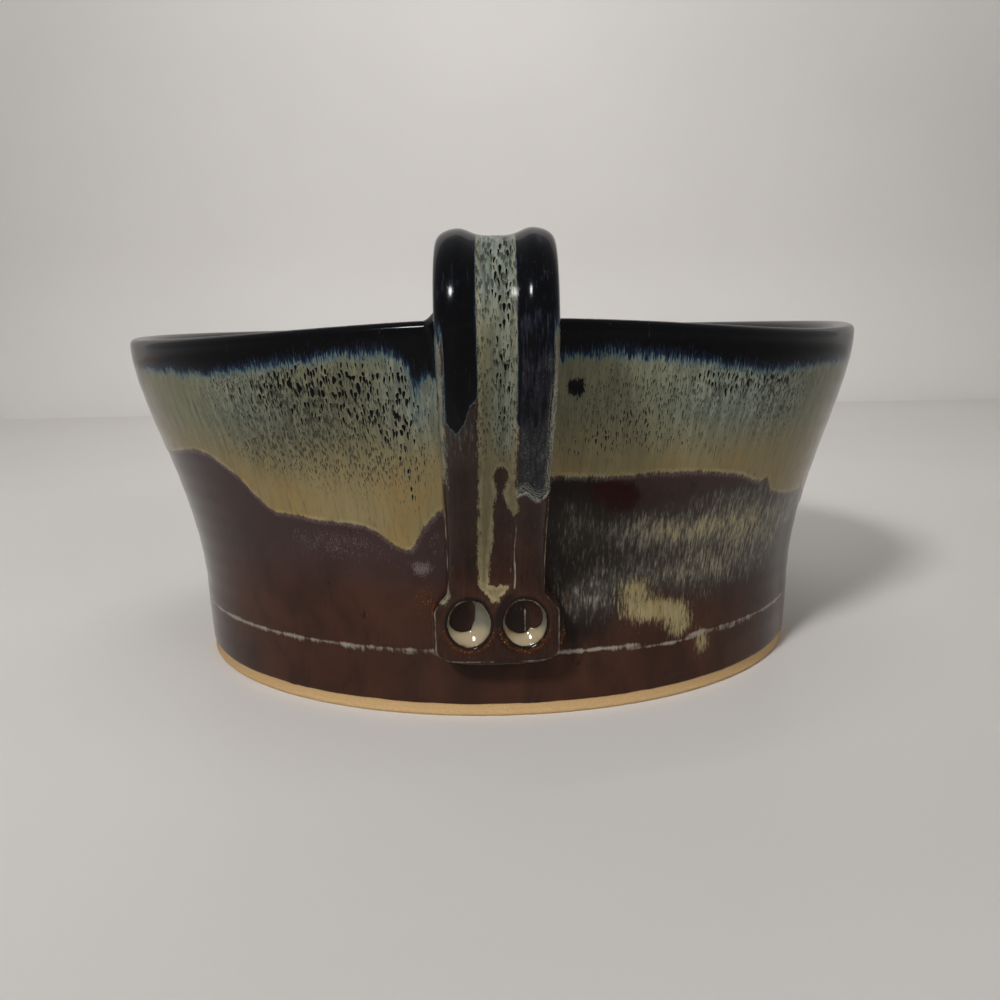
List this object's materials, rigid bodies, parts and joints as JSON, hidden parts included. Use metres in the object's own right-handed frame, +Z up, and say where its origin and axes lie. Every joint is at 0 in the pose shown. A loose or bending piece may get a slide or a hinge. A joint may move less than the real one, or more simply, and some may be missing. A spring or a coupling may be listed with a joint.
{
  "type": "apple baker",
  "caption": "Stoneware baking bowl with a flared wall, a hollow spike that carries a cored apple, and a pulled strap handle pressed on at the foot.",
  "frame": {"origin": "centre of the flat foot, on the surface the bowl stands on", "axes": "+Z up, -Y out through the handle, +X to the right seen from the handle's side"},
  "size_m": [0.1638, 0.1936, 0.0863],
  "materials": {
    "brown_glaze": "gloss",
    "liner_glaze": "gloss",
    "cream_glaze": "gloss"
  },
  "bodies": {
    "root": {"bowl_body": "brown_glaze", "apple_spike": "liner_glaze", "spike_coil": "liner_glaze", "handle_strap": "brown_glaze", "handle_root_coil": "brown_glaze", "handle_pad_bead": "brown_glaze", "glaze_pool_left": "cream_glaze", "glaze_pool_right": "cream_glaze"}
  },
  "joints": []
}
